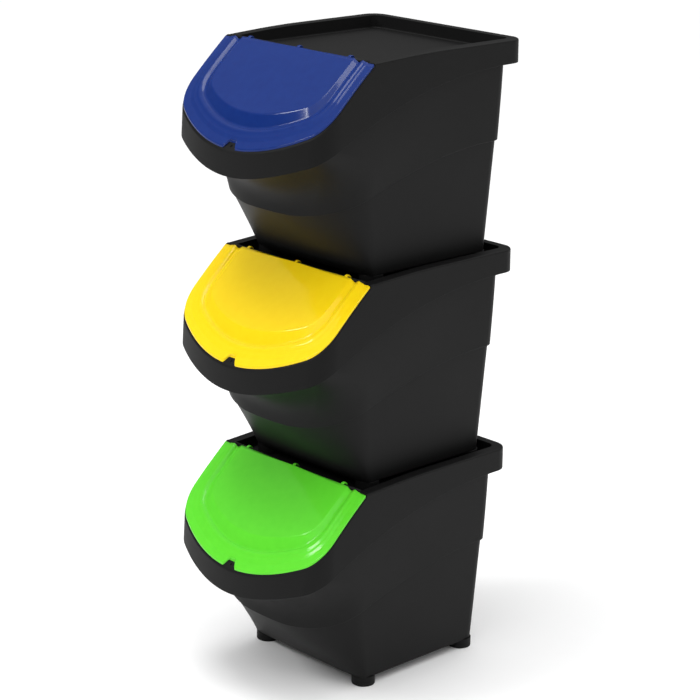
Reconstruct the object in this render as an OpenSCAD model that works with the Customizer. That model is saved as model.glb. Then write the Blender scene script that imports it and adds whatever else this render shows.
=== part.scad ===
// Stack of three sorting bins for recycling, each with a tilting flap in its sloping mouth.
// Every bin is an open container, a clip-on cover with a stacking tray, and a coloured flap.
// Y runs from the nose (-Y) to the rear (+Y); Z = 0 is the floor.

/* [Cover] */
// Overall width across the rim
rim_w = 293; // [250:1:340]
// Height of the rim above the floor
rim_z = 309.5; // [290:0.5:360]
// Depth of the stacking tray below the rim
tray_depth = 18.5; // [14:0.5:24]
// Width of the flat rim around the tray
rim_land = 16.5; // [12:0.5:20]
// Distance from the hinge line back to the rear lip
rear_reach = 283; // [260:1:330]
// Distance from the hinge line forward to the foot of the nose band
nose_reach = 121; // [112:1:140]
// Radius of the nose across the front
nose_r = 294; // [240:1:400]
// Radius of the corners between the nose and the sides
corner_r = 40; // [32:1:55]
// Height of the nose band's lower edge at the front
band_z = 150; // [135:1:165]
// Drop of the rear skirt below the rim
skirt_drop = 32; // [28:1:45]
// Wall of the cover
cover_wall = 2.5; // [1.8:0.1:3]

/* [Container] */
// Width of the base
base_w = 232; // [200:1:250]
// Distance from the hinge line back to the front of the base
base_front = 28; // [22:1:45]
// Distance from the hinge line back to the rear wall
base_rear = 256; // [235:1:262]
// Width just under the cover
neck_w = 281; // [240:1:284]
// Height of the shoulder line at the rear
shoulder_z = 171; // [150:1:195]
// Outward step at the shoulder line
shoulder_step = 2.5; // [1:0.5:4]
// Wall of the container
bin_wall = 2.5; // [1.8:0.1:3.5]

/* [Feet] */
// Diameter of a foot
foot_d = 33; // [24:1:36]
// Height of a foot
foot_h = 13; // [8:1:16]
// Wall of a hollow foot
foot_wall = 4.5; // [3.5:0.1:6]

/* [Flap and hinge] */
// Slope of the mouth below the horizontal
mouth_slope = 40.5; // [35:0.5:45]
// Thickness of the flap
flap_t = 2.5; // [1.8:0.1:3]
// Height of the flap's raised panel
panel_lift = 2.5; // [1.5:0.1:4]
// Radius of the hinge bar
bar_r = 2.8; // [2:0.1:3]
// Running clearance between the bar and a hook
bar_gap = 0.08; // [0.05:0.01:0.1]
// Width of a hook
hook_w = 5; // [4:0.5:8]
// Distance between neighbouring hooks
hook_pitch = 97.8; // [80:0.1:110]

/* [Clearances] */
// Gap between pieces that seat on each other
seat_gap = 0.3; // [0.2:0.05:0.5]
// Side play of a hook in its window
window_gap = 1; // [0.6:0.1:2]

/* [Hidden] */
$fn = 96;

body_black = "#262626";
flap_green = "#5fd43c";
flap_yellow = "#f3d22c";
flap_blue = "#2f4190";

// How finely an outline is divided: nose, its corner, straight side and rear corner
nose_steps = 5;
bend_steps = 7;
arc_steps = nose_steps + bend_steps;
side_steps = 12;
corner_steps = 5;

// The stack: one bin stands in the tray of the bin below it
tray_z = rim_z - tray_depth;
pitch = tray_z;
y_shift = (nose_reach - rear_reach) / 2;

// Hinge line, measured from the flap's rear edge at y = 0
hinge_y = 4.3;
hinge_z = rim_z - 6;
hook_reach = bar_r + bar_gap + flap_t;
hook_tip_angle = 20;
hook_back_angle = 10;

// Heights of the mouth's planes above the hinge line, square to the slope
flap_under = 0.44;
mouth_top = flap_under - seat_gap;
mouth_under = mouth_top - cover_wall;

// Cover outline: straight sides end at nose_turn, where the corners of the nose begin
half_w = rim_w / 2;
nose_turn = nose_r - nose_reach - sqrt(pow(nose_r - corner_r, 2) - pow(half_w - corner_r, 2));
nose_lean = 2;
skirt_flare = 0.5;
rear_r = 24;
mouth_land = 18;
edge_round = 3;
edge_fall = 1;
droop_from = -10;
nose_droop = 15;
tray_r = 12;
skirt_z = rim_z - skirt_drop;

// Top of the rim: it rises from the hinge to its full height further back
mouth_end = 1.5;
ear_step = 0.3;
ear_drop = 1;
rim_rise = 5;
rim_rise_end = 120;
rim_rise_power = 1.5;
mouth_stations = [-40, -25, -12];
rim_stations = concat(
    mouth_stations,
    [mouth_end, mouth_end + ear_step, hinge_y, 12, 45, 80, rim_rise_end, 180]
);

// Catch nub on the front land
nub_r = 1.6;
nub_h = 1;
nub_y = 8 - nose_reach;

// Container outline at its four levels
base_r = 18;
base_edge = 2;
base_power = 6;
foot_proud = 1.8;
foot_inset = 0.5;
shoulder_turn = 20;
shoulder_front = -51;
shoulder_power = 2.4;
shoulder_drop = 76;
shoulder_land = 1;
draft_width = 60;
half_neck = neck_w / 2;
neck_inset = half_w - half_neck;
rim_gap = 1.6 * seat_gap;
scoop_power = 3;
scoop_inside = [0.3, 0.6, 0.85];
scoop_outside = [0.9, 0.75, 0.55, 0.3];
rear_slack = 1;
seam_level = 21;
seam_fall = 78.4;
seam_power = 2.13;
band_sweep = 3;
shoulder_level = 23;
shoulder_sweep = 1.8;
draft = (neck_w - base_w) / 2 / (skirt_z - foot_h);

// Flap outline: its play in the mouth, its finger notch, and the rings of its raised panel
flap_play = 1.2;
flap_half = half_w - flap_play;
notch_half = 10;
notch_depth = 7;
notch_angles = [0, 25, 50, 72, 90];
radial = [1, 0.89, 0.86, 0.83, 0.805, 0.76, 0.735];
lifts = [0, 0, 0.5, 0, 0, 0.7, 1];
droops = [1, 1, 1, 1, 0.9, 0.15, 0];

// A value part of the way from a to b
function mix(a, b, t) = a + (b - a) * t;
function clamp01(t) = min(1, max(0, t));

// The mouth slopes down from the hinge, and droops further towards the nose
function droop(y) = nose_droop * pow(clamp01((droop_from - y) / (droop_from + nose_reach)), 2);

// Height at y of a surface that lies h above the hinge line, square to the mouth's slope
function slope_z(y, h) =
    hinge_z + (h + sin(mouth_slope) * (y - hinge_y)) / cos(mouth_slope) - droop(y);

// Lower edge of the cover: level at the rear, swept down the sides, steeper round the nose
function side_seam(y) =
    let (rear = rear_reach - seam_level, t = max(0, (rear - y) / (rear - nose_turn)))
    skirt_z - seam_fall * pow(t, seam_power);
function seam_z(y) =
    let (nose = clamp01((nose_turn - y) / (nose_turn + nose_reach)))
    side_seam(y) - (side_seam(-nose_reach) - band_z) * pow(nose, band_sweep);

// Shoulder line of the container: the same sweep, lower down
function shoulder_line(y) =
    let (rear = base_rear - shoulder_level, t = clamp01((rear - y) / (rear - shoulder_front)))
    shoulder_z - shoulder_drop * pow(t, shoulder_sweep);

// Half of the nose, from its foremost point to the straight side, set in by the inset
function nose_arc(inset, lean) =
    let (r = nose_r - inset,
         c = corner_r - inset,
         w = half_w - inset,
         front = lean + inset - nose_reach,
         end = asin((w - c) / (r - c)),
         turn = front + r - (r - c) * cos(end))
    concat(
        [for (i = [0 : nose_steps - 1])
            let (a = end * i / nose_steps)
            [r * sin(a), front + r - r * cos(a)]],
        [for (i = [0 : bend_steps])
            let (a = mix(end, 90, i / bend_steps))
            [w - c + c * sin(a), turn - c * cos(a)]]
    );

// Half an outline, from the foremost point round the side to the rear
function front_arc(w, turn, front, power) = [
    for (i = [0 : arc_steps])
        let (a = 90 * (1 - i / arc_steps))
        [w * pow(cos(a), 2 / power), turn - (turn - front) * pow(sin(a), 2 / power)]
];
function rear_arc(w, rear, r) = [
    for (i = [1 : corner_steps])
        let (a = 90 * i / corner_steps)
        [w - r + r * cos(a), rear - r + r * sin(a)]
];
function side_run(w, from, to) = [
    for (i = [1 : side_steps]) [w, mix(from, to, i / side_steps)]
];
function half_outline(w, turn, front, power, rear, r) = concat(
    front_arc(w, turn, front, power),
    side_run(w, turn, rear - r),
    rear_arc(w, rear, r)
);

// Closed skins: each ring is half an outline of [x, y, z] points, mirrored in x.
// The first and last rings are closed by strips that run across from side to side.
// A folded skin is a sheet: its rings meet along one straight rear edge, which gets an end face.
function mirrored(half) = concat(
    half,
    [for (i = [len(half) - 1 : -1 : 1]) [-half[i][0], half[i][1], half[i][2]]]
);
module skin(halves, folded = false) {
    h = len(halves[0]);
    n = 2 * h - 1;
    rings = len(halves);
    last = (rings - 1) * n;
    points = [for (half = halves) each mirrored(half)];
    walls = [
        for (k = [0 : rings - 2])
            for (i = [0 : n - 1])
                let (a = k * n + i, b = k * n + (i + 1) % n)
                if (!folded || i != h - 1)
                    each [[a, b, b + n], [a, b + n, a + n]]
    ];
    first_cap = [
        for (i = [0 : h - 2])
            let (j = (n - i) % n, k = n - i - 1)
            each (i == 0 ? [[0, k, 1]] : [[i, j, k], [i, k, i + 1]])
    ];
    last_cap = [for (f = first_cap) [last + f[0], last + f[2], last + f[1]]];
    end_face = !folded ? [] : [
        for (r = [0 : rings / 2 - 2])
            let (t = r * n + h, u = (rings - 1 - r) * n + h)
            each [[t + n - 1, t - 1, u - 1, u - n - 1], [t, t + n, u - n, u]],
        [h - 1, h, last + h, last + h - 1]
    ];
    polyhedron(points = points, faces = concat(walls, first_cap, last_cap, end_face));
}

// Container rings
function at_z(outline, z) = [for (p = outline) [p[0], p[1], z]];
function base_ring(inset, z) = at_z(
    half_outline(base_w / 2 - inset, base_front + base_r, base_front + inset, base_power,
                 base_rear - inset, base_r - inset), z);
function shoulder_half(z) = base_w / 2 + draft * (z - foot_h);
function shoulder_ring(out, lift) =
    let (w = shoulder_half(shoulder_z - shoulder_drop / 2) + out)
    [for (p = half_outline(w, shoulder_turn, shoulder_front - out, shoulder_power,
                           base_rear + out, base_r))
        [p[0] + draft * (shoulder_line(p[1]) - shoulder_z + shoulder_drop / 2) * min(1, p[0] / draft_width),
         p[1], shoulder_line(p[1]) + lift]];
function neck_outline(inset, lean) =
    let (nose = nose_arc(neck_inset + inset, lean), w = half_neck - inset, r = base_r - inset,
         rear = base_rear + rear_slack - inset)
    concat(nose, side_run(w, nose[arc_steps][1], rear - r), rear_arc(w, rear, r));
function seam_ring(inset, lift) = [
    for (p = neck_outline(inset, 0)) [p[0], p[1], seam_z(p[1]) + lift]
];
function top_ring(inset) = [
    for (p = neck_outline(inset, nose_lean))
        [p[0], p[1], min(tray_z - cover_wall - seat_gap,
                         slope_z(p[1], mouth_under - rim_gap))]
];
function scoop_ring(low, high, t, lift) = [
    for (i = [0 : len(low) - 1])
        [mix(low[i][0], high[i][0], t),
         mix(low[i][1], high[i][1], pow(t, scoop_power)),
         mix(low[i][2], high[i][2], t) + lift * t]
];

module container_shell() {
    low = shoulder_ring(shoulder_step, shoulder_land);
    high = seam_ring(0, 0);
    low_in = shoulder_ring(shoulder_step - bin_wall, shoulder_land);
    high_in = seam_ring(bin_wall, 0);
    skin([
        base_ring(bin_wall, foot_h + bin_wall),
        shoulder_ring(-bin_wall, 0),
        low_in,
        for (t = scoop_inside) scoop_ring(low_in, high_in, t, bin_wall),
        seam_ring(bin_wall, bin_wall),
        top_ring(bin_wall),
        top_ring(0),
        high,
        for (t = scoop_outside) scoop_ring(low, high, t, 0),
        low,
        shoulder_ring(0, 0),
        base_ring(0, foot_h + base_edge),
        base_ring(base_edge, foot_h)
    ]);
}

module at_feet() {
    foot_x = (base_w - foot_d) / 2 + foot_proud;
    foot_y = foot_d / 2 + foot_inset;
    for (x = [-foot_x, foot_x])
        for (y = [base_front + foot_y, base_rear - foot_y])
            translate([x, y, 0])
                children();
}

module container() {
    difference() {
        union() {
            container_shell();
            at_feet()
                cylinder(d = foot_d, h = foot_h + 1);
        }
        at_feet()
            translate([0, 0, bin_wall])
                cylinder(d = foot_d - 2 * foot_wall, h = foot_h + bin_wall);
    }
}

// Cover rings: the side run carries the stations where the rim drops to the hinge
function cover_outline(inset, lean) =
    let (w = half_w - inset, rear = rear_reach - inset)
    concat(
        nose_arc(inset, lean),
        [for (y = rim_stations) [w, y]],
        [[w, rear - rear_r]],
        rear_arc(w, rear, rear_r)
    );
function rim_top(y) =
    y < hinge_y ? hinge_z + ear_drop
    : y == hinge_y ? hinge_z + bar_r - ear_drop
    : rim_z - rim_rise * pow(1 - clamp01(y / rim_rise_end), rim_rise_power);
function rim_height(y, h, drop) = y <= mouth_end ? slope_z(y, h) : rim_top(y) - drop;
function cover_ring(inset, lean, h, drop) = [
    for (p = cover_outline(inset, lean)) [p[0], p[1], rim_height(p[1], h, drop)]
];
function skirt_ring(inset) = [
    for (p = cover_outline(inset - skirt_flare, skirt_flare)) [p[0], p[1], seam_z(p[1])]
];

module cover_shell() {
    skin([
        cover_ring(edge_round, nose_lean, mouth_top, 0),
        cover_ring(0, nose_lean, mouth_top - edge_fall, edge_round),
        skirt_ring(0),
        skirt_ring(cover_wall),
        cover_ring(cover_wall, nose_lean, mouth_under, cover_wall)
    ]);
}

module rounded_block(w, front, rear, r, z, h) {
    translate([0, 0, z])
        linear_extrude(h)
            union() {
                translate([-w / 2, front])
                    square([w, rear - front - r]);
                translate([-w / 2 + r, front])
                    square([w - 2 * r, rear - front]);
                for (x = [-1, 1])
                    translate([x * (w / 2 - r), rear - r])
                        circle(r);
            }
}

// Everything below the middle of the rim's thickness, as a prism across the bin
module under_rim(front, rear) {
    half_wall = cover_wall / 2;
    stations = [for (y = rim_stations) if (y > hinge_y) y];
    translate([-half_w, 0, 0])
        rotate([90, 0, 90])
            linear_extrude(rim_w)
                polygon(concat(
                    [[front - 1, 0], [rear + 1, 0], [rear + 1, rim_z - half_wall]],
                    [for (i = [len(stations) - 1 : -1 : 0])
                        [stations[i], rim_top(stations[i]) - half_wall]],
                    [[front - 1, rim_top(stations[0]) - half_wall]]
                ));
}

module cover() {
    tray_w = rim_w - 2 * rim_land;
    tray_rear = rear_reach - rim_land + cover_wall;
    lip = hinge_y - cover_wall / 2;
    difference() {
        union() {
            cover_shell();
            intersection() {
                rounded_block(tray_w + 2 * cover_wall, lip, tray_rear + cover_wall,
                              tray_r + cover_wall, tray_z - cover_wall,
                              tray_depth + cover_wall);
                under_rim(lip, tray_rear + cover_wall);
            }
        }
        rounded_block(tray_w, lip + cover_wall, tray_rear, tray_r, tray_z, tray_depth + 1);
        mouth_cut(tray_w, lip);
        translate([-tray_w / 2, lip - 1, hinge_z])
            cube([tray_w, cover_wall + 2, rim_z]);
        at_hooks()
            translate([-hook_w / 2 - window_gap, lip - 1, hinge_z - hook_reach - window_gap])
                cube([hook_w + 2 * window_gap, cover_wall + 2, hook_reach + window_gap + 1]);
    }
    translate([-tray_w / 2 - 1, hinge_y, hinge_z])
        rotate([0, 90, 0])
            cylinder(r = bar_r, h = tray_w + 2);
    nub();
}

// Hole in the sloping mouth, cut straight down, up to the tray's front wall
module mouth_cut(w, lip) {
    outline = nose_arc(mouth_land, nose_lean);
    translate([0, 0, band_z])
        linear_extrude(rim_z)
            polygon(concat(
                [for (p = outline) p],
                [[half_w - mouth_land, lip], [mouth_land - half_w, lip]],
                [for (i = [len(outline) - 1 : -1 : 1]) [-outline[i][0], outline[i][1]]]
            ));
}

// Small catch on the mouth's front land, seen in the flap's finger notch
module nub() {
    root = slope_z(nub_y, (mouth_top + mouth_under) / 2);
    translate([0, nub_y, root])
        cylinder(r = nub_r, h = slope_z(nub_y, mouth_top) + nub_h - root);
}

// Flap: a D-shaped sheet with a finger notch, and radial stations from its rim to its panel
function flap_outline(depth) =
    let (arc = nose_arc(flap_play, nose_lean), r = nose_r - flap_play)
    concat(
        [for (a = notch_angles)
            let (x = notch_half * sin(a))
            [x, arc[0][1] + r - sqrt(r * r - x * x) + depth * cos(a)]],
        [for (i = [1 : arc_steps]) arc[i]],
        [for (y = mouth_stations) [flap_half, y]],
        [[flap_half, 0]]
    );
function flap_ring(i, h) = [
    for (p = radial[i] * flap_outline(i == 0 ? notch_depth : 0))
        [p[0], p[1], slope_z(p[1], h + panel_lift * lifts[i]) + (1 - droops[i]) * droop(p[1])]
];

module flap_sheet() {
    top = flap_under + flap_t;
    skin(concat(
        [for (i = [len(radial) - 1 : -1 : 0]) flap_ring(i, top)],
        [for (i = [0 : len(radial) - 1]) flap_ring(i, flap_under)]
    ), folded = true);
}

module at_hooks() {
    for (i = [-1 : 1])
        translate([i * hook_pitch, 0, 0])
            children();
}

// A hook clips over the hinge bar and is open below, towards the mouth
module hook() {
    translate([hook_w / 2, hinge_y, hinge_z])
        rotate([0, -90, 0])
            difference() {
                cylinder(r = hook_reach, h = hook_w);
                translate([0, 0, -1])
                    cylinder(r = bar_r + bar_gap, h = hook_w + 2);
                translate([0, 0, -1])
                    linear_extrude(hook_w + 2)
                        polygon([
                            [0, 0],
                            [-2 * hook_reach * sin(hook_tip_angle), -2 * hook_reach * cos(hook_tip_angle)],
                            [-3 * hook_reach, -2 * hook_reach],
                            [-3 * hook_reach, 0],
                            [-2 * hook_reach * cos(hook_back_angle), 2 * hook_reach * sin(hook_back_angle)]
                        ]);
            }
}

module flap() {
    union() {
        flap_sheet();
        at_hooks()
            hook();
    }
}

// Places a bin of the stack: level 0 stands on the floor
module at_level(level) {
    translate([0, y_shift, level * pitch])
        children();
}

module container_bottom() { color(body_black) at_level(0) container(); }
module cover_bottom() { color(body_black) at_level(0) cover(); }
module flap_bottom() { color(flap_green) at_level(0) flap(); }
module container_middle() { color(body_black) at_level(1) container(); }
module cover_middle() { color(body_black) at_level(1) cover(); }
module flap_middle() { color(flap_yellow) at_level(1) flap(); }
module container_top() { color(body_black) at_level(2) container(); }
module cover_top() { color(body_black) at_level(2) cover(); }
module flap_top() { color(flap_blue) at_level(2) flap(); }

container_bottom();
cover_bottom();
flap_bottom();
container_middle();
cover_middle();
flap_middle();
container_top();
cover_top();
flap_top();
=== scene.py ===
# %% [markdown]
# # Three stacked sorting bins
# Household sorting bins are moulded in polypropylene: an open container, a cover that clips
# onto it, and a coloured flap that clips over a bar in the cover. Three such bins stand in
# each other's trays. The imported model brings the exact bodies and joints; this lesson builds
# the surfaces that the eye sees and rides each one on its body.

# %% Load the frame
import math
import bpy
import bmesh
import numpy as np
from mathutils import Matrix, Vector


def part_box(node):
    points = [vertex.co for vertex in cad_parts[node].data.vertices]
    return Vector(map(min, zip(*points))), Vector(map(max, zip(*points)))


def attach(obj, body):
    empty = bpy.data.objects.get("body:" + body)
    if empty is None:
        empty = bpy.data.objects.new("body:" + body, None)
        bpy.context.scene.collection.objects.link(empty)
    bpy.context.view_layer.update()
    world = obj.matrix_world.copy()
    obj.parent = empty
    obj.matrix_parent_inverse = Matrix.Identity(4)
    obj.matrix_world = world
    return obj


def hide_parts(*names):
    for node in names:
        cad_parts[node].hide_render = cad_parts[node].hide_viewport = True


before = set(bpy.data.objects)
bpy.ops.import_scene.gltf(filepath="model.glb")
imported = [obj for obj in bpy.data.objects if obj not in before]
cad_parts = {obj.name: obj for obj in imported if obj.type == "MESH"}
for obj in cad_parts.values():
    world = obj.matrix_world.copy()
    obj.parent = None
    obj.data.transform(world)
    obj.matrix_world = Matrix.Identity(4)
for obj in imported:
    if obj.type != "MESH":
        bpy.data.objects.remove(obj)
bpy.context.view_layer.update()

# %% [markdown]
# ## Where a bin stands
# Every bin is the same, so each piece is worked out once, in millimetres, in a bin's own
# place: y = 0 is the rear edge of its flap and z = 0 is the ground under its feet. The real
# positions could be typed in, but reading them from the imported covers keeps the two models
# together. The nose reaches 121 mm forward of the flap's rear edge.

# %% Bin sizes
LEVELS = ("bottom", "middle", "top")
nose_reach = 121.0
nose_r, corner_r, nose_lean = 294.0, 40.0, 2.0
rear_reach = 283.0
rim_w = 293.0
rim_z = 309.5
wall = 2.5
seat_gap = 0.3
half_w = rim_w / 2
covers = [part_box("cover_" + n) for n in LEVELS]
y_shift = covers[0][0].y * 1000 + nose_reach
pitch = (covers[1][0].z - covers[0][0].z) * 1000
tray_z = pitch
print("y shift", round(y_shift, 2), "pitch", round(pitch, 2))


# %% [markdown]
# ## The sloping mouth
# The flap's panel lies on a plane that falls 40.5 degrees towards the nose and passes just
# under the hinge bar, while the edge of the mouth droops up to 15 mm below it at the nose. A
# height measured square to the slope is easy to think about, so one function turns such a
# height into z. The mouth's edge, the sweep of the cover's lower edge and the shoulder line
# of the container are the three curves that give the bin its look.

# %% Heights along the bin
slope = math.radians(40.5)
hinge_y = 4.3
hinge_z = rim_z - 6
flap_under = 0.44
mouth_top = flap_under - seat_gap
mouth_under = mouth_top - wall
nose_turn = nose_r - nose_reach - math.sqrt((nose_r - corner_r) ** 2 - (half_w - corner_r) ** 2)
band_z = 150.0
droop_from, nose_droop = -10.0, 15.0
seam_rear, seam_fall, seam_power = rear_reach - 21, 78.4, 2.13
skirt_z = rim_z - 32
base_rear = 256.0
shoulder_z = 171.0
shoulder_front = -51.0
shoulder_fall = 76.0
shoulder_rear, shoulder_power = base_rear - 23, 1.8


def mix(a, b, t):
    return a + (b - a) * t


def droop(y):
    ahead = (droop_from - np.asarray(y, float)) / (droop_from + nose_reach)
    return nose_droop * np.clip(ahead, 0, 1) ** 2


def slope_z(y, h):
    return hinge_z + (h + math.sin(slope) * (y - hinge_y)) / math.cos(slope) - droop(y)


def side_seam(y):
    t = np.maximum((seam_rear - y) / (seam_rear - nose_turn), 0)
    return skirt_z - seam_fall * t ** seam_power


def seam_z(y):
    nose = np.clip((nose_turn - y) / (nose_turn + nose_reach), 0, 1)
    return side_seam(y) - (side_seam(-nose_reach) - band_z) * nose ** 3


def shoulder_line(y):
    t = np.clip((shoulder_rear - y) / (shoulder_rear - shoulder_front), 0, 1)
    return shoulder_z - shoulder_fall * t ** shoulder_power


print("cover edge at the nose", float(seam_z(-nose_reach)))
print("cover edge at the rear", float(seam_z(rear_reach)))

# %% [markdown]
# ## Outlines
# Seen from above, every level of the bin is a nose, two straight sides and a rear wall with
# round corners. The cover's nose is one wide arc of 294 mm with corner arcs of 40 mm, and an
# inset shortens both radii, so walls keep their thickness. The container lower down is a
# superellipse, whose power decides how square it is. A curve object could draw all this, but
# plain arrays of points can be mixed and offset freely.


# %% Outline helpers
def nose_arc(inset, lean, steps=24, bend=40):
    r, c, w = nose_r - inset, corner_r - inset, half_w - inset
    end = math.asin((w - c) / (r - c))
    front = lean + inset - nose_reach
    a = np.linspace(0, end, steps, endpoint=False)
    b = np.linspace(end, math.pi / 2, bend + 1)
    turn = front + r - (r - c) * math.cos(end)
    wide = np.stack([r * np.sin(a), front + r - r * np.cos(a)], 1)
    return np.concatenate([wide, np.stack([w - c + c * np.sin(b), turn - c * np.cos(b)], 1)])


def blunt_arc(w, turn, front, power, steps=64):
    a = np.radians(90 * (1 - np.arange(steps + 1) / steps))
    x = w * np.abs(np.cos(a)) ** (2 / power)
    y = turn - (turn - front) * np.sin(a) ** (2 / power)
    return np.stack([x, y], 1)


def side(w, stations):
    s = np.asarray(stations, float)
    return np.stack([np.full(len(s), w), s], 1)


def rear_corner(w, rear, r, steps=12):
    a = np.radians(90 * np.arange(1, steps + 1) / steps)
    return np.stack([w - r + r * np.cos(a), rear - r + r * np.sin(a)], 1)


def around(half):
    mirror = half[1:][::-1].copy()
    mirror[:, 0] *= -1
    return np.concatenate([half, mirror])


def with_z(outline, z):
    return np.column_stack([outline, np.broadcast_to(z, len(outline))])


# %% [markdown]
# ## Rings into moulded skins
# A moulded wall is a stack of rings with the same number of points. Real tools leave no
# sharp edge, so each ring may carry a radius, and the section through it is rounded there
# with a short curve. Blender's bevel could do this, but it slips on long twisted faces,
# while rounding the rings before the faces exist keeps every edge even and clean.


# %% Fillets, lofts and finished objects
def filleted(rings, radii, closed=False, steps=5):
    out, count = [], len(rings)
    for k, ring in enumerate(rings):
        r = radii[k]
        open_end = not closed and k in (0, count - 1)
        if r == 0 or open_end:
            out.append(ring)
            continue
        back, ahead = rings[k - 1] - ring, rings[(k + 1) % count] - ring
        lb = np.linalg.norm(back, axis=1, keepdims=True)
        la = np.linalg.norm(ahead, axis=1, keepdims=True)
        a = ring + back * np.minimum(r / np.maximum(lb, 1e-6), 0.45)
        b = ring + ahead * np.minimum(r / np.maximum(la, 1e-6), 0.45)
        for i in range(steps + 1):
            t = i / steps
            out.append((1 - t) ** 2 * a + 2 * t * (1 - t) * ring + t * t * b)
    return out


def add_rings(bm, rings, closed=False, around=True):
    rows = [[bm.verts.new(p) for p in ring] for ring in rings]
    n = len(rows[0])
    pairs = list(zip(rows, rows[1:] + rows[:1])) if closed else list(zip(rows, rows[1:]))
    for low, high in pairs:
        for i in range(n if around else n - 1):
            j = (i + 1) % n
            bm.faces.new((low[i], low[j], high[j], high[i]))
    return rows


def place(level):
    return Matrix.Translation((0, y_shift / 1000, level * pitch / 1000)) @ Matrix.Scale(0.001, 4)


def finish_mesh(bm, name):
    bmesh.ops.remove_doubles(bm, verts=bm.verts, dist=0.002)
    bmesh.ops.recalc_face_normals(bm, faces=bm.faces)
    mesh = bpy.data.meshes.new(name)
    bm.to_mesh(mesh)
    bm.free()
    mesh.shade_smooth()
    return mesh


def piece(mesh, name, level, node):
    data = mesh.copy()
    data.transform(place(level))
    o = bpy.data.objects.new(name, data)
    bpy.context.scene.collection.objects.link(o)
    even = o.modifiers.new("EvenShading", "WEIGHTED_NORMAL")
    even.keep_sharp = True
    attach(o, node)
    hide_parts(node)
    return o


# %% [markdown]
# ## The container
# The container swells towards the nose: its base is nearly square, its shoulder line is
# lowest at the front and rises to the rear, and above that line the front wall scoops out
# under the nose. It could be sculpted, but a mould like this is drawn as sections, so a loft
# of sections follows it best. The wall is about 2.5 mm, and the section runs from the floor
# inside, over the top edge, and down the outside to the base.

# %% Container rings
base_w, base_front, base_r, foot_h = 232.0, 28.0, 18.0, 13.0
neck_w, step, land = 281.0, 2.5, 1.0
shoulder_turn, shoulder_square, base_square, fade_width = 20.0, 2.4, 6.0, 60.0
rear_slack, rim_gap, scoop_power = 1.0, 1.6 * seat_gap, 3
draft = (neck_w - base_w) / 2 / (skirt_z - foot_h)
side_steps = np.arange(1, 37) / 36


def bin_outline(w, turn, front, power, rear, r):
    return np.concatenate([blunt_arc(w, turn, front, power),
                           side(w, mix(turn, rear - r, side_steps)),
                           rear_corner(w, rear, r)])


def base_ring(inset, z):
    half = bin_outline(base_w / 2 - inset, base_front + base_r, base_front + inset, base_square,
                       base_rear - inset, max(base_r - inset, 1))
    return with_z(around(half), z)


def shoulder_ring(out, lift):
    middle = shoulder_z - shoulder_fall / 2
    w = base_w / 2 + draft * (middle - foot_h) + out
    p = bin_outline(w, shoulder_turn, shoulder_front - out, shoulder_square,
                    base_rear + out, base_r)
    line = shoulder_line(p[:, 1])
    fade = np.minimum(1, p[:, 0] / fade_width)
    shifted = np.column_stack([p[:, 0] + draft * (line - middle) * fade, p[:, 1], line + lift])
    return around(shifted)


def neck_outline(inset, lean):
    nose = nose_arc((rim_w - neck_w) / 2 + inset, lean)
    w, r, rear = neck_w / 2 - inset, base_r - inset, base_rear + rear_slack - inset
    return around(np.concatenate([nose, side(w, mix(nose[-1, 1], rear - r, side_steps)),
                                  rear_corner(w, rear, r)]))


def seam_ring(inset, lift):
    p = neck_outline(inset, 0)
    return with_z(p, seam_z(p[:, 1]) + lift)


def top_ring(inset):
    p = neck_outline(inset, nose_lean)
    return with_z(p, np.minimum(tray_z - wall - seat_gap,
                                slope_z(p[:, 1], mouth_under - rim_gap)))


def scoop(low, high, t, lift):
    ring = mix(low, high, t)
    ring[:, 1] = mix(low[:, 1], high[:, 1], t ** scoop_power)
    ring[:, 2] += lift * t
    return ring


print("side draft in degrees", round(math.degrees(math.atan(draft)), 2))

# %% [markdown]
# ## Feet
# Each foot is moulded in one piece with the base and is hollow from inside, so the floor has
# four round wells. The floor is filled around the wells with triangles, which is safe on a
# flat face, and the foot below is a turned profile.

# %% Feet and wells
foot_r, well_r, well_z = 16.5, 12.0, 2.5
foot_out, foot_in = 1.8, 0.5
foot_top, bore_r, sole, hub_r = 14.0, 13.0, 1.5, 4.0
foot_x = base_w / 2 - foot_r + foot_out
foot_ys = (base_front + foot_r + foot_in, base_rear - foot_r - foot_in)
feet = [(x, y) for x in (-foot_x, foot_x) for y in foot_ys]


def circle(x, y, r, z, count=64):
    a = np.arange(count) * 2 * math.pi / count
    return np.column_stack([x + r * np.cos(a), y + r * np.sin(a), np.full(count, z)])


def turned(bm, x, y, profile, radii):
    rings = filleted([circle(x, y, r, z) for r, z in profile], radii, steps=6)
    rows = add_rings(bm, rings)
    bm.faces.new(rows[0])
    bm.faces.new(rows[-1])


def add_foot(bm, x, y):
    turned(bm, x, y,
           [(hub_r, 0), (foot_r, 0), (foot_r, foot_top),
            (bore_r, foot_top), (bore_r, sole), (hub_r, sole)],
           [0, 1.5, 0.5, 0, 0, 0])


def add_well(bm, x, y, floor):
    rings = filleted([circle(x, y, r, z) for r, z in
                      ((well_r + 1, floor), (well_r, floor), (well_r, well_z), (hub_r, well_z))],
                     [0, 1, 2, 0], steps=5)
    rows = add_rings(bm, rings)
    bm.faces.new(rows[-1])
    return rows[0]


print("foot centres", feet)


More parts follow.
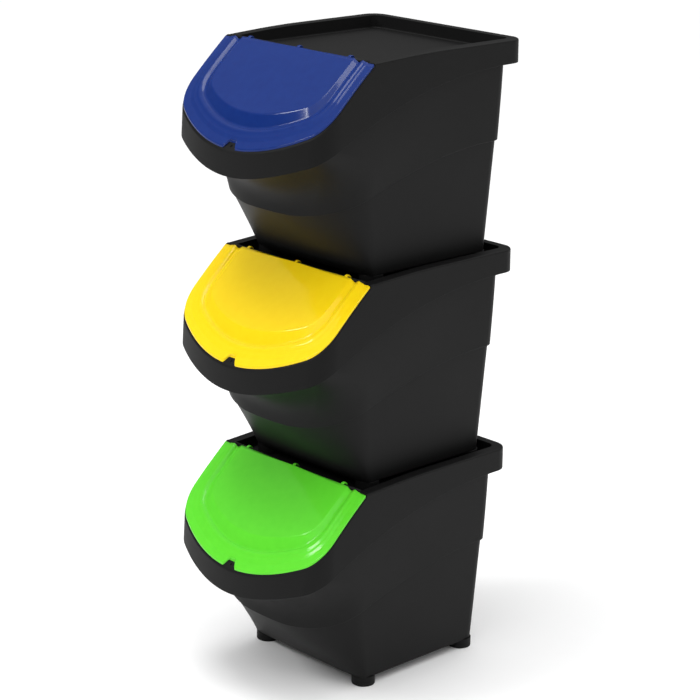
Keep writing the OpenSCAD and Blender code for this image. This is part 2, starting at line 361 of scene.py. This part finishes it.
# %% Container mesh
def container_mesh():
    bm = bmesh.new()
    floor = foot_h + wall
    low, high = shoulder_ring(step, land), seam_ring(0, 0)
    low_in, high_in = shoulder_ring(step - wall, land), seam_ring(wall, 0)
    base_in, base_out = base_ring(wall, floor), base_ring(0, foot_h)
    first_in, first_out = shoulder_ring(-wall, 0), shoulder_ring(0, 0)
    rings, radii = [base_ring(wall + 4, floor), base_in], [0, 3]
    for t in np.linspace(0.1, 0.95, 8):
        rings.append(mix(base_in, first_in, t))
        radii.append(0)
    rings += [first_in, low_in]
    radii += [0, 0]
    for t in np.linspace(0.1, 0.95, 14):
        rings.append(scoop(low_in, high_in, t, wall))
        radii.append(0)
    rings += [seam_ring(wall, wall), top_ring(wall), top_ring(0), high]
    radii += [0, 0.8, 0.8, 2]
    for t in np.linspace(0.97, 0.03, 26):
        rings.append(scoop(low, high, t, 0))
        radii.append(0)
    rings += [low, first_out]
    radii += [0.7, 0.5]
    for t in np.linspace(0.97, 0.08, 14):
        rings.append(mix(base_out, first_out, t))
        radii.append(0)
    rings += [base_out, base_ring(5, foot_h)]
    radii += [2.5, 0]
    rows = add_rings(bm, filleted(rings, radii))
    bm.faces.new(rows[-1])
    wells = [add_well(bm, x, y, floor) for x, y in feet]
    edges = []
    for loop in [rows[0]] + wells:
        for i, v in enumerate(loop):
            edges.append(bm.edges.get((v, loop[(i + 1) % len(loop)])))
    bmesh.ops.triangle_fill(bm, use_beauty=True, use_dissolve=False, edges=edges)
    for x, y in feet:
        add_foot(bm, x, y)
    return finish_mesh(bm, "container")


container = container_mesh()
print("container faces", len(container.polygons))

# %% [markdown]
# ## The cover's frame
# The cover is one moulding: a flat rim round the tray, the frame of the sloping mouth, and
# a band that drops from both and wraps round the nose. Cut across anywhere, it is an upside
# down channel, so the whole frame is a closed ring of such sections. Only its inner edge
# changes from the mouth to the tray, and the rim drops in a small step where the hinge is.

# %% Cover rings
rim_land, mouth_land = 16.5, 18.0
mouth_end, ear_step, ear_low, ear_high = 1.5, 0.3, 1.0, 1.8
rim_rise, rim_rise_end, skirt_flare = 5.0, 120.0, 0.5
rear_r, tray_r = 24.0, 12.0
tray_rear = rear_reach - rim_land + wall
stations = [-52, -46, -40, -34, -28, -22, -17, -12, -9, -6, -3, 0, 1.0, 1.4, mouth_end, 1.6, 1.7,
            mouth_end + ear_step, 2.2, 2.8, 3.4, 3.9, hinge_y, 4.7, 5.4, 6.5, 8, 10, 12, 17, 25, 35,
            45, 57, 70, 82, 95, 108, 120, 135, 150, 165, 180, 195, 210, 225, 240, 250]


def ease(t):
    t = np.clip(t, 0, 1)
    return t * t * (3 - 2 * t)


def rim_top(y):
    y = np.asarray(y, float)
    long = rim_z - rim_rise * (1 - np.clip(y / rim_rise_end, 0, 1)) ** 1.5
    low, high = hinge_z + ear_low, hinge_z + ear_high
    bump = mix(low, high, ease((y - mouth_end - ear_step) / 2.5))
    return np.where(y < hinge_y, bump, mix(high, long, ease((y - hinge_y) / 2.2)))


def rim_height(y, h, drop):
    behind = rim_top(y) - drop
    front = slope_z(y, h)
    return mix(front, behind, ease((y - mouth_end) / ear_step))


def cover_half(inset, lean, rear=rear_reach, r=rear_r):
    w = half_w - inset
    return np.concatenate([nose_arc(inset, lean), side(w, stations + [rear - r]),
                           rear_corner(w, rear, r)])


def cover_ring(inset, h, drop, rear=None, r=rear_r):
    p = around(cover_half(inset, nose_lean, rear or rear_reach - inset, r))
    return with_z(p, rim_height(p[:, 1], h, drop))


def skirt_ring(inset):
    p = around(cover_half(inset - skirt_flare, skirt_flare, rear_reach - inset))
    return with_z(p, seam_z(p[:, 1]))


def inner_ring(h, drop):
    narrow = cover_ring(mouth_land, h, drop, tray_rear, tray_r)
    wide = cover_ring(rim_land, h, drop, tray_rear, tray_r)
    t = ease((narrow[:, 1] - mouth_end) / (hinge_y - mouth_end))[:, None]
    return mix(narrow, wide, t)


print("rim height at the hinge and at the rear", float(rim_top(5)), float(rim_top(280)))

# %% [markdown]
# ## The stacking tray and the hinge bar
# Behind the hinge the cover carries a shallow tray that takes the feet of the next bin. Its
# front wall is a thin strip with three windows, and the round hinge bar runs along its top,
# so that the flap's hooks can reach round it. The tray is its own closed loft, set back
# 0.03 mm from the frame's edge, which hides the joint without making two faces lie in one
# plane.

# %% Tray, bar and nub
lip = hinge_y - wall / 2
hook_w, hook_pitch, window_gap = 5.0, 97.8, 1.0
bar_r, bar_gap, flap_t = 2.8, 0.08, 2.5
hook_reach = bar_r + bar_gap + flap_t
strip_top, set_back = hinge_z, 0.03
window_z = hinge_z - hook_reach - window_gap


def strip_stations():
    half = hook_w / 2 + window_gap
    xs = [0.0]
    for c in (0, hook_pitch):
        if c:
            xs += list(np.linspace(half + 6, c - half - 6, 12)) + [c - half - 0.1, c - half, c]
        xs += [c + half, c + half + 0.1]
    return np.array(xs)


def strip_height(x):
    half = hook_w / 2 + window_gap + 0.05
    inside = np.zeros(len(x), bool)
    for c in (-hook_pitch, 0, hook_pitch):
        inside |= np.abs(np.abs(x) - abs(c)) < half
    return np.where(inside, window_z, strip_top)


def tray_outline(out, corner):
    w, front = half_w - rim_land + set_back + out, lip + wall - out
    rear, r = tray_rear + set_back + out, tray_r + out
    xs = strip_stations()
    run = np.column_stack([xs, np.full(len(xs), front)])
    a = np.radians(np.linspace(-90, 0, 7))
    turn = np.column_stack([w - corner + corner * np.cos(a), front + corner + corner * np.sin(a)])
    flank = side(w, [8.5, 10, 12, 17, 25, 35, 45, 60, 80, 100, 120, 140, 160, 180, 200, 220, 240])
    return around(np.concatenate([run, turn, flank, rear_corner(w, rear, r)]))


def tray_top(outline):
    front = outline[:, 1] < 7.9
    behind = rim_top(outline[:, 1]) - wall / 2
    on_strip = np.abs(outline[:, 0]) < hook_pitch + 20
    level = np.where(front, strip_top, behind)
    return np.where(on_strip & front, strip_height(outline[:, 0]), level)


def cover_mesh():
    bm = bmesh.new()
    rings = [skirt_ring(0), cover_ring(0, mouth_top, 0), inner_ring(mouth_top, 0),
             inner_ring(mouth_under, wall), cover_ring(wall, mouth_under, wall), skirt_ring(wall)]
    radii = [0.7, 2.8, 1.0, 0.6, 1.5, 0.7]
    add_rings(bm, filleted(rings, radii, closed=True, steps=6), closed=True)
    inside, outside = tray_outline(0, 1.5), tray_outline(wall, 2)
    floor_edge = tray_outline(-5, 1)
    under_edge = tray_outline(wall - 5, 1)
    section = [with_z(floor_edge, tray_z), with_z(inside, tray_z), with_z(inside, tray_top(inside)),
               with_z(outside, tray_top(outside)), with_z(outside, tray_z - wall),
               with_z(under_edge, tray_z - wall)]
    rows = add_rings(bm, filleted(section, [0, 2.5, 0.4, 0.4, 1.5, 0], steps=4))
    bm.faces.new(rows[0])
    bm.faces.new(rows[-1])
    section = circle(hinge_y, hinge_z, bar_r, 0, 48)[:, :2]
    reach = half_w - rim_land + 1
    bar = [np.column_stack([np.full(len(section), x), section])
           for x in np.linspace(-reach, reach, 9)]
    rows = add_rings(bm, bar)
    bm.faces.new(rows[0])
    bm.faces.new(rows[-1])
    nub_y, nub_r = 8 - nose_reach, 1.6
    top = slope_z(nub_y, mouth_top) + 1
    turned(bm, 0, nub_y, [(nub_r, top - 2.6), (nub_r, top), (0.2, top)], [0, 0.7, 0])
    return finish_mesh(bm, "cover")


cover = cover_mesh()
print("cover faces", len(cover.polygons))

# %% [markdown]
# ## The flap
# The flap is a D-shaped sheet 2.5 mm thick. From its edge inwards it has a flange, a low
# ridge, a groove and a wall that climbs to a flat panel, all following the same D. Each is a
# ring of the same outline made smaller, so heights given against that shrinking factor draw
# the whole relief. The flange follows the drooping mouth and the panel stays in its plane,
# so the wall is lowest at the sides and some 10 mm high at the nose. The front edge has an
# arched notch for a fingertip, and the panel is crowned by half a millimetre, as a large
# moulded face always is, which keeps reflections lively.

# %% Flap relief
flap_play = 1.2
flap_half = half_w - flap_play
relief_k = [1, 0.885, 0.86, 0.832, 0.815, 0.798, 0.75, 0.03]
relief_h = [0, 1.0, 2.2, 0.8, -0.7, -0.6, 2.5, 2.5]
relief_d = [1, 1, 1, 1, 1, 1, 0, 0]
notch_half, notch_depth = 13.0, 8.0


def relief():
    pts = [np.array([[k * 130.0, h, d * 8.0]]) for k, h, d in zip(relief_k, relief_h, relief_d)]
    soft = np.array([p[0] for p in filleted(pts, [0, 3, 1.5, 1.2, 0.8, 0.9, 1.5, 0], steps=8)])
    table = np.column_stack([soft[:, 0] / 130, soft[:, 1], soft[:, 2] / 8])
    edge = [(k, 0.0, 1.0) for k in np.linspace(1, 0.93, 8)]
    fill = [(k, relief_h[-1], 0.0) for k in np.linspace(table[-2, 0], relief_k[-1], 12)[1:-1]]
    return np.array(edge + list(map(tuple, table[1:-1])) + fill + [tuple(table[-1])])


def flap_outline(notch):
    r = nose_r - flap_play
    arc = nose_arc(flap_play, nose_lean, 30, 40)
    x = np.linspace(0, notch_half, 18)
    dip = notch_depth * ease((notch_half - x) / 9)
    arch = np.column_stack([x, arc[0, 1] + r - np.sqrt(r * r - x * x) + dip * notch])
    half = np.concatenate([arch, arc[arc[:, 0] > notch_half + 0.5],
                           side(flap_half, np.linspace(arc[-1, 1], 0, 13)[1:])])
    return np.concatenate([half[1:][::-1] * [-1, 1], half])


def flap_row(k, h, d, base):
    notch = float(ease((k - 0.93) / 0.07))
    p = flap_outline(notch) * k
    crown = 0.5 * ease((0.72 - k) / 0.5) * ease(-p[:, 1] / 25)
    lip = 0.9 * notch * np.clip(1 - (p[:, 0] / 17) ** 2, 0, 1) ** 2
    return with_z(p, slope_z(p[:, 1], base + h + crown + lip) + (1 - d) * droop(p[:, 1]))


relief_rows = relief()
print("relief rings", len(relief_rows))

# %% [markdown]
# ## Hooks
# Three hooks grow out of the flap's rear edge. Each starts wide on the sheet, climbs like a
# small horn, and curls back and round the bar until it is open only below. Sections swept
# between an outer and an inner curve give that horn its body, which a plain arc would lack.

# %% Hook sweep and flap mesh
def hook_curves():
    top = flap_under + flap_t
    reach = [math.radians(a) for a in np.linspace(112, -76, 26)]
    outer_arc = [(hinge_y + hook_reach * math.cos(a), hinge_z + hook_reach * math.sin(a))
                 for a in reach]
    start = np.array([-17.0, float(slope_z(-17.0, top - 0.4))])
    end = np.array(outer_arc[0])
    bend = np.array([-4.5, float(slope_z(-4.5, top)) + 3.4])
    outer = [tuple((1 - t) ** 2 * start + 2 * t * (1 - t) * bend + t * t * end)
             for t in np.linspace(0, 1, 14)[:-1]] + outer_arc
    inner_r = bar_r + bar_gap
    turn = [math.radians(a) for a in np.linspace(190, -76, 30)]
    run = [(y, float(slope_z(y, top - 1.9))) for y in np.linspace(-17, -1.5, 9)]
    inner = run + [(hinge_y + inner_r * math.cos(a), hinge_z + inner_r * math.sin(a)) for a in turn]
    return np.array(outer), np.array(inner)


def hook_sections():
    outer, inner = hook_curves()
    s = np.arange(len(outer)) / (len(outer) - 1)
    wide = hook_w / 2 + 4.0 * (1 - ease(s / 0.34)) ** 1.3
    blunt = np.where(s > 0.92, 0.4 * ease((s - 0.92) / 0.08), 0)
    sections = []
    for o, i, w, b in zip(outer, inner, wide, blunt):
        middle, half = (o + i) / 2, (o - i) / 2 * (1 - b)
        ring = []
        for a in np.arange(24) * 2 * math.pi / 24:
            u = math.copysign(abs(math.cos(a)) ** 0.5, math.cos(a)) * w
            v = math.copysign(abs(math.sin(a)) ** 0.5, math.sin(a))
            ring.append((u, *(middle + half * v)))
        sections.append(np.array(ring))
    return sections


def flap_mesh():
    bm = bmesh.new()
    top = flap_under + flap_t
    upper = [flap_row(k, h, d, top) for k, h, d in relief_rows[::-1]]
    lower = [flap_row(k, h, d, flap_under) for k, h, d in relief_rows]
    count = len(upper)
    rings = upper + lower
    radii = [0] * (count - 1) + [0.8, 0.8] + [0] * (count - 1)
    rows = add_rings(bm, filleted(rings, radii, steps=4), around=False)
    total = len(rows)
    for r in range(total // 2 - 1):
        for i in (0, -1):
            bm.faces.new((rows[r][i], rows[r + 1][i],
                          rows[total - 2 - r][i], rows[total - 1 - r][i]))
    bm.faces.new(rows[0])
    bm.faces.new(rows[-1])
    bm.faces.new((rows[0][0], rows[0][-1], rows[-1][-1], rows[-1][0]))
    rear = [e for e in bm.edges
            if all(abs(v.co.y) < 1e-4 for v in e.verts) and len(e.link_faces) == 2
            and e.calc_face_angle(0) > 0.9]
    for e in rear:
        e.smooth = False
    for c in (-hook_pitch, 0, hook_pitch):
        ends = add_rings(bm, [ring + np.array([c, 0, 0]) for ring in hook_sections()])
        bm.faces.new(ends[0])
        bm.faces.new(ends[-1])
    return finish_mesh(bm, "flap")


flap = flap_mesh()
print("flap faces", len(flap.polygons))

# %% [markdown]
# ## Colours
# Colours are written in sRGB hex. The shader wants linear light, so one function turns one
# into the other, and one small function adds a node with its settings and links.


# %% Colour and node helpers
def linear(hex_colour):
    parts = [int(hex_colour[i:i + 2], 16) / 255 for i in (1, 3, 5)]
    lit = [c / 12.92 if c <= 0.04045 else ((c + 0.055) / 1.055) ** 2.4 for c in parts]
    return (*lit, 1.0)


def node(tree, kind, settings=None, links=None):
    made = tree.nodes.new(kind)
    for key, value in (settings or {}).items():
        if key in made.inputs:
            made.inputs[key].default_value = value
        else:
            setattr(made, key, value)
    for key, source in (links or {}).items():
        tree.links.new(source, made.inputs[key])
    return made


polypropylene_ior = 1.49
print("black pigment in linear light", linear("#0d0d0d")[:3])


# %% [markdown]
# ## Satin black polypropylene
# The containers and covers are injection moulded in black polypropylene. The tool is
# spark-eroded to a fine grain, which gives a satin face: broad soft highlights and no clear
# mirror image. The grain of about 0.4 mm is finer than a render shows, so it is drawn at
# 1.2 mm. Flow of the melt leaves slow changes of tone and gloss over some 80 mm. The IOR is
# 1.49, the value for polypropylene, and the specular level is low because the pits of the
# grain swallow most of the mirror light. A clear coat would look varnished.

# %% Material: spark-grained black polypropylene
def spark_grained_polypropylene(name, hex_dark, hex_light):
    mat = bpy.data.materials.new(name)
    mat.use_nodes = True
    t = mat.node_tree
    t.nodes.clear()
    at = node(t, "ShaderNodeTexCoord").outputs["Object"]
    flow = node(t, "ShaderNodeTexNoise", {"Scale": 1 / 0.08, "Detail": 3.0, "Roughness": 0.5},
                {"Vector": at})
    grain = node(t, "ShaderNodeTexNoise", {"Scale": 1 / 0.0012, "Detail": 2.0}, {"Vector": at})
    tone = node(t, "ShaderNodeMix", {"data_type": "RGBA"})
    tone.inputs["A"].default_value = linear(hex_dark)
    tone.inputs["B"].default_value = linear(hex_light)
    t.links.new(flow.outputs["Fac"], tone.inputs["Factor"])
    gloss = node(t, "ShaderNodeMapRange", {"To Min": 0.48, "To Max": 0.6},
                 {"Value": flow.outputs["Fac"]})
    fine = node(t, "ShaderNodeBump", {"Strength": 0.12, "Distance": 0.00004},
                {"Height": grain.outputs["Fac"]})
    slow = node(t, "ShaderNodeBump", {"Strength": 0.25, "Distance": 0.0006},
                {"Height": flow.outputs["Fac"], "Normal": fine.outputs["Normal"]})
    skin = node(t, "ShaderNodeBsdfPrincipled",
                {"IOR": polypropylene_ior, "Metallic": 0.0, "Specular IOR Level": 0.15},
                {"Base Color": tone.outputs["Result"], "Roughness": gloss.outputs["Result"],
                 "Normal": slow.outputs["Normal"]})
    node(t, "ShaderNodeOutputMaterial", None, {"Surface": skin.outputs["BSDF"]})
    return mat


body_black = spark_grained_polypropylene("spark_grained_black_polypropylene", "#0d0d0d", "#121212")
print(body_black.name)


# %% [markdown]
# ## Glossy coloured polypropylene
# The flaps come from a polished tool, so they show clear, slightly wavy reflections. The
# pigment sits in a milky resin, and a little light goes under the skin, about a millimetre
# deep. Faint waves 30 mm long, left as the sheet shrinks, bend the highlights, and wiped
# smudges of 12 mm vary gloss and tone. Both are slow patterns drawn at their true size.

# %% Material: polished coloured polypropylene
def polished_polypropylene(name, hex_deep, hex_full):
    mat = bpy.data.materials.new(name)
    mat.use_nodes = True
    t = mat.node_tree
    t.nodes.clear()
    at = node(t, "ShaderNodeTexCoord").outputs["Object"]
    waves = node(t, "ShaderNodeTexNoise", {"Scale": 1 / 0.03, "Detail": 1.0}, {"Vector": at})
    smudge = node(t, "ShaderNodeTexNoise", {"Scale": 1 / 0.012, "Detail": 4.0}, {"Vector": at})
    pigment = node(t, "ShaderNodeMix", {"data_type": "RGBA"})
    pigment.inputs["A"].default_value = linear(hex_deep)
    pigment.inputs["B"].default_value = linear(hex_full)
    t.links.new(smudge.outputs["Fac"], pigment.inputs["Factor"])
    gloss = node(t, "ShaderNodeMapRange", {"To Min": 0.08, "To Max": 0.14},
                 {"Value": smudge.outputs["Fac"]})
    bend = node(t, "ShaderNodeBump", {"Strength": 0.15, "Distance": 0.0004},
                {"Height": waves.outputs["Fac"]})
    skin = node(t, "ShaderNodeBsdfPrincipled",
                {"IOR": polypropylene_ior, "Metallic": 0.0, "Specular IOR Level": 0.22,
                 "Subsurface Weight": 0.06, "Subsurface Scale": 0.001},
                {"Base Color": pigment.outputs["Result"], "Roughness": gloss.outputs["Result"],
                 "Normal": bend.outputs["Normal"]})
    node(t, "ShaderNodeOutputMaterial", None, {"Surface": skin.outputs["BSDF"]})
    return mat


pigments = {
    "bottom": ("green", "#5acf2e", "#62d734"),
    "middle": ("yellow", "#efcb10", "#f5d31a"),
    "top": ("blue", "#0e2666", "#132e70"),
}
flap_finish = {}
for level_name, (colour, deep, full) in pigments.items():
    finish = polished_polypropylene("polished_" + colour + "_polypropylene", deep, full)
    flap_finish[level_name] = ("flap_" + colour, finish)
print([m.name for _, m in flap_finish.values()])

# %% [markdown]
# ## Three bins
# Each piece rides on the body of the same name, and stands for that body's node. The mesh is
# copied to its own level, so each object sits at the origin and its place is in its mesh.

# %% Place the pieces
for level, name in enumerate(LEVELS):
    for mesh, kind in ((container, "container"), (cover, "cover")):
        o = piece(mesh, "moulded_" + kind + "_" + name, level, kind + "_" + name)
        o.data.materials.append(body_black)
    slot_name, finish = flap_finish[name]
    o = piece(flap, "moulded_flap_" + name, level, "flap_" + name)
    o.data.materials.append(finish)

# %% [markdown]
# ## Floor
# A large plain sheet of matt white paper fills the whole background of the main view. Low
# views show its far edge against the grey room. A curved backdrop would hide that edge, but
# it would stand in the way of views from behind.

# %% Floor
ground = bmesh.new()
bmesh.ops.create_grid(ground, x_segments=8, y_segments=8, size=12)
floor_mesh = bpy.data.meshes.new("studio_floor")
ground.to_mesh(floor_mesh)
ground.free()
floor = bpy.data.objects.new("studio_floor", floor_mesh)
bpy.context.scene.collection.objects.link(floor)
paper = bpy.data.materials.new("matt_white_backdrop_paper")
paper.use_nodes = True
tree = paper.node_tree
tree.nodes.clear()
pulp = node(tree, "ShaderNodeTexNoise", {"Scale": 1 / 0.004, "Detail": 3.0})
shade = node(tree, "ShaderNodeMapRange", {"To Min": 0.94, "To Max": 0.97},
             {"Value": pulp.outputs["Fac"]})
sheet = node(tree, "ShaderNodeBsdfPrincipled", {"Roughness": 0.9},
             {"Base Color": shade.outputs["Result"]})
node(tree, "ShaderNodeOutputMaterial", None, {"Surface": sheet.outputs["BSDF"]})
floor_mesh.materials.append(paper)
print("floor ready")

# %% [markdown]
# ## Camera
# A lens of about 116 mm, from the front right, looks 17 degrees down at the stack, with one
# degree of roll. It is long, so the upright edges stay nearly parallel. A wide lens could
# stand closer, but it would make the lowest bin look smaller than the others.

# %% Camera
azimuth, elevation, roll = (math.radians(a) for a in (46.39, 17.02, 0.99))
forward = Vector((-math.sin(azimuth) * math.cos(elevation), math.cos(azimuth) * math.cos(elevation),
                  -math.sin(elevation)))
right = Vector((math.cos(azimuth), math.sin(azimuth), 0))
up = right.cross(forward)
x_axis = right * math.cos(roll) + up * math.sin(roll)
y_axis = up * math.cos(roll) - right * math.sin(roll)
camera_data = bpy.data.cameras.new("studio_camera")
sensor = 36
camera_data.sensor_width = sensor
camera_data.lens = 2251.4 / 700 * sensor
camera_data.clip_end = 60
camera = bpy.data.objects.new("studio_camera", camera_data)
bpy.context.scene.collection.objects.link(camera)
turn = Matrix((x_axis, y_axis, -forward)).transposed()
camera.matrix_world = Matrix.Translation((2.1773, -2.0504, 1.3736)) @ turn.to_4x4()
bpy.context.scene.camera = camera
print("lens in mm", round(camera_data.lens, 1))

# %% [markdown]
# ## Light
# The gloss shows the room, so the room is part of the finish. It is white overhead and
# darker near the horizon, which keeps the black plastic black, and a darker left side
# keeps the flaps deep in colour. Three soft lamps add the streaks on the rounded edges.

# %% Light
def softbox(name, place_at, aim, size, power):
    data = bpy.data.lights.new(name, "AREA")
    data.shape = "RECTANGLE"
    data.size, data.size_y = size
    data.energy = power
    lamp = bpy.data.objects.new(name, data)
    bpy.context.scene.collection.objects.link(lamp)
    facing = (Vector(aim) - Vector(place_at)).to_track_quat("-Z", "Y").to_matrix().to_4x4()
    lamp.matrix_world = Matrix.Translation(place_at) @ facing
    return lamp


softbox("overhead_box", (-0.3, -0.6, 3.0), (0, 0, 0.4), (1.1, 1.1), 22)
softbox("nose_box", (-1.2, -2.3, 2.5), (0, 0, 0.6), (1.0, 0.45), 30)
softbox("side_box", (3.2, 0.6, 1.4), (0, 0, 0.45), (0.4, 1.6), 8)
bpy.context.scene.view_settings.view_transform = "Standard"
world = bpy.data.worlds.new("bright_room")
bpy.context.scene.world = world
world.use_nodes = True
room = world.node_tree.nodes["Background"]
room.inputs["Color"].default_value = (1, 1, 1, 1)
heading = node(world.node_tree, "ShaderNodeTexCoord").outputs["Generated"]
split = node(world.node_tree, "ShaderNodeSeparateXYZ", None, {"Vector": heading})
# rises from the grey horizon to a white ceiling
sky = node(world.node_tree, "ShaderNodeMapRange",
           {"interpolation_type": "SMOOTHSTEP", "From Min": 0.3, "From Max": 0.8,
            "To Min": 0.3, "To Max": 1.5}, {"Value": split.outputs["Z"]})
# dims the left of the room, as a black cloth would
flag = node(world.node_tree, "ShaderNodeMapRange",
            {"interpolation_type": "SMOOTHSTEP", "From Min": -0.65, "From Max": -0.1,
             "To Min": 0.4, "To Max": 1.15}, {"Value": split.outputs["X"]})
dimmed = node(world.node_tree, "ShaderNodeMath", {"operation": "MULTIPLY"})
world.node_tree.links.new(sky.outputs["Result"], dimmed.inputs[0])
world.node_tree.links.new(flag.outputs["Result"], dimmed.inputs[1])
world.node_tree.links.new(dimmed.outputs["Value"], room.inputs["Strength"])
